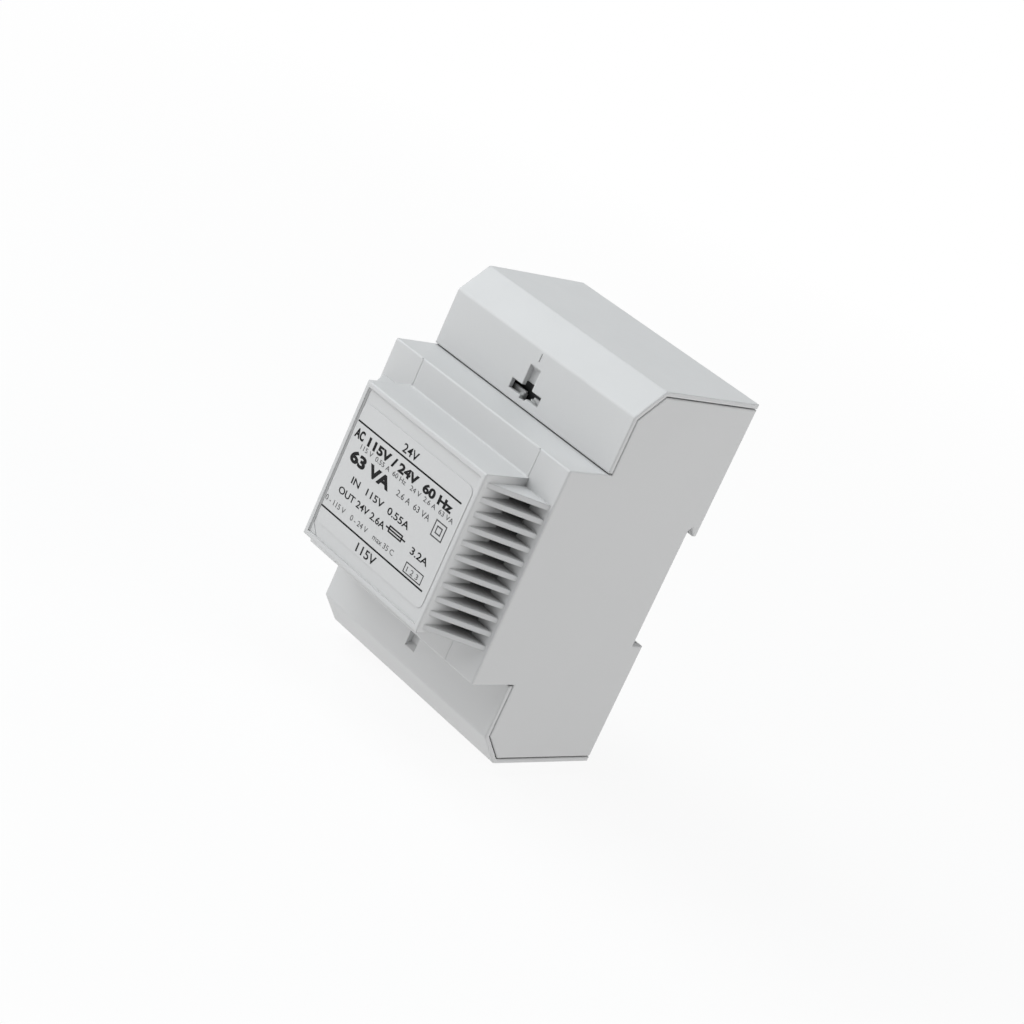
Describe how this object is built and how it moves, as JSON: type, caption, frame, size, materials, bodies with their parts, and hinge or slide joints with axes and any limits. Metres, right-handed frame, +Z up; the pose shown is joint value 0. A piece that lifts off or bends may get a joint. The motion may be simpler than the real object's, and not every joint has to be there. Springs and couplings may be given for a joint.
{
  "type": "mains transformer",
  "caption": "Rail-mounted mains transformer in a stepped grey housing with a label block, louvred corners, two terminal covers and a sprung rail latch.",
  "frame": {"origin": "middle of the rail seat, on the rail's axis, half way across the width", "axes": "+Z up along the height as mounted, +Y to the rear towards the rail and the wall, front faces -Y, +X to the right seen from the front"},
  "size_m": [0.0764, 0.078, 0.1162],
  "materials": {
    "housing_plastic": "satin light grey moulding",
    "cover_plastic": "satin light grey moulding",
    "base_plastic": "satin light grey moulding",
    "latch_plastic": "black polyamide",
    "label_film": "pale grey printed film",
    "zinc_steel": "zinc plated",
    "spring_steel": "spring steel strip",
    "core_steel": "varnished silicon steel laminations",
    "former_plastic": "black glass-filled polyamide",
    "winding_copper": "enamelled copper wire",
    "winding_tape": "black polyester tape",
    "brass": "bright brass",
    "terminal_plastic": "dark grey polyamide",
    "lead_insulation": "insulated flexible lead"
  },
  "bodies": {
    "transformer": {"housing": "housing_plastic", "base_plate": "base_plastic", "base_screws": "zinc_steel", "top_terminal_cover": "cover_plastic", "bottom_terminal_cover": "cover_plastic", "rating_label": "label_film", "latch_spring": "spring_steel", "core_e_stack": "core_steel", "core_i_stack": "core_steel", "coil_former": "former_plastic", "primary_winding": "winding_copper", "secondary_winding": "winding_copper", "primary_tape": "winding_tape", "secondary_tape": "winding_tape", "core_screws": "zinc_steel", "core_washers": "zinc_steel", "core_inserts": "brass", "top_terminal_block": "terminal_plastic", "bottom_terminal_block": "terminal_plastic", "top_clamp_cages": "zinc_steel", "bottom_clamp_cages": "zinc_steel", "top_terminal_screws": "zinc_steel", "bottom_terminal_screws": "zinc_steel", "top_contact_bars": "brass", "bottom_contact_bars": "brass", "primary_leads": "lead_insulation", "secondary_leads": "lead_insulation"},
    "latch": {"rail_latch": "latch_plastic"}
  },
  "joints": [
    {"name": "latch_slide", "type": "slide", "parent": "transformer", "child": "latch", "axis": [0, 0, -1], "range_m": [0, 0.004], "stiffness_N_per_m": 1500, "springref_m": -0.003, "deforming": ["latch_spring"]}
  ]
}
